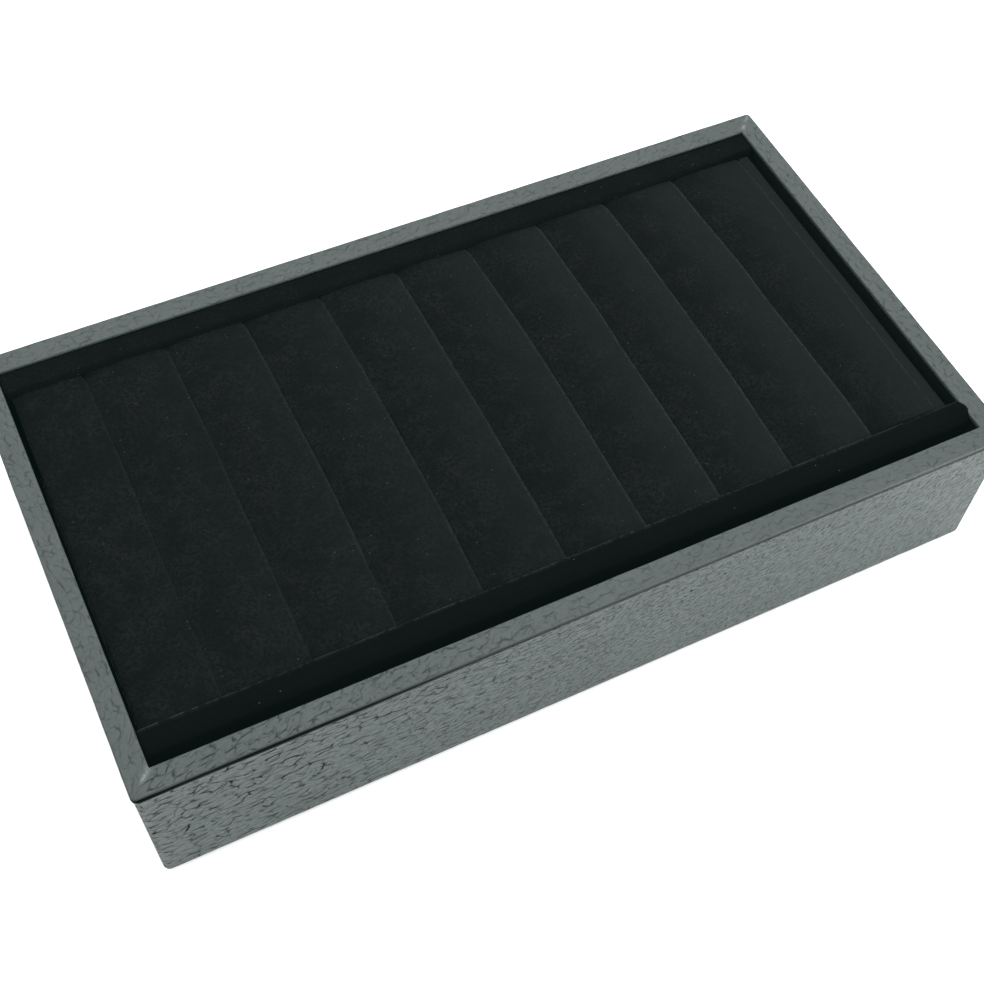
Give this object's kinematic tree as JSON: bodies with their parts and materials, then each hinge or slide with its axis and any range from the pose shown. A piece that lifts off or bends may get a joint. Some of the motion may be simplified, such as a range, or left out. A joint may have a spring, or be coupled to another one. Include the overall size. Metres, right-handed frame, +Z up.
{
  "type": "jewelry display tray",
  "caption": "Shallow leatherette tray with a mitred rim and a lift-out velvet insert, whose padded strips between two rails grip rings in the slots.",
  "frame": {"origin": "middle of the tray's footprint, on the face it rests on", "axes": "+X along the tray's length, +Y from its front long side to its rear one, +Z up out of the tray"},
  "size_m": [0.24, 0.135, 0.047],
  "materials": {
    "leatherette": "pebbled, satin",
    "velvet": "short black pile",
    "fibreboard": "raw",
    "grey_card": "raw card",
    "base_paper": "matt black paper",
    "foam": "open-cell foam"
  },
  "bodies": {
    "case": {"base_board": "fibreboard", "front_board": "fibreboard", "rear_board": "fibreboard", "left_board": "fibreboard", "right_board": "fibreboard", "front_wrap": "leatherette", "rear_wrap": "leatherette", "left_wrap": "leatherette", "right_wrap": "leatherette", "front_rim": "leatherette", "rear_rim": "leatherette", "left_rim": "leatherette", "right_rim": "leatherette", "base_sheet": "base_paper", "floor_lining": "velvet", "front_lining": "velvet", "rear_lining": "velvet", "left_lining": "velvet", "right_lining": "velvet"},
    "insert": {"insert_card": "grey_card", "front_rail_board": "fibreboard", "front_rail_velvet": "velvet", "rear_rail_board": "fibreboard", "rear_rail_velvet": "velvet", "end_panel_board": "fibreboard", "end_panel_velvet": "velvet", "strip_foam_01": "foam", "strip_foam_02": "foam", "strip_foam_03": "foam", "strip_foam_04": "foam", "strip_foam_05": "foam", "strip_foam_06": "foam", "strip_foam_07": "foam", "strip_foam_08": "foam", "strip_foam_09": "foam", "strip_foam_10": "foam", "strip_velvet_01": "velvet", "strip_velvet_02": "velvet", "strip_velvet_03": "velvet", "strip_velvet_04": "velvet", "strip_velvet_05": "velvet", "strip_velvet_06": "velvet", "strip_velvet_07": "velvet", "strip_velvet_08": "velvet", "strip_velvet_09": "velvet", "strip_velvet_10": "velvet"}
  },
  "joints": [
    {"name": "insert_lift", "type": "slide", "parent": "case", "child": "insert", "axis": [0, 0, 1], "range_m": [0, 0.06]}
  ]
}
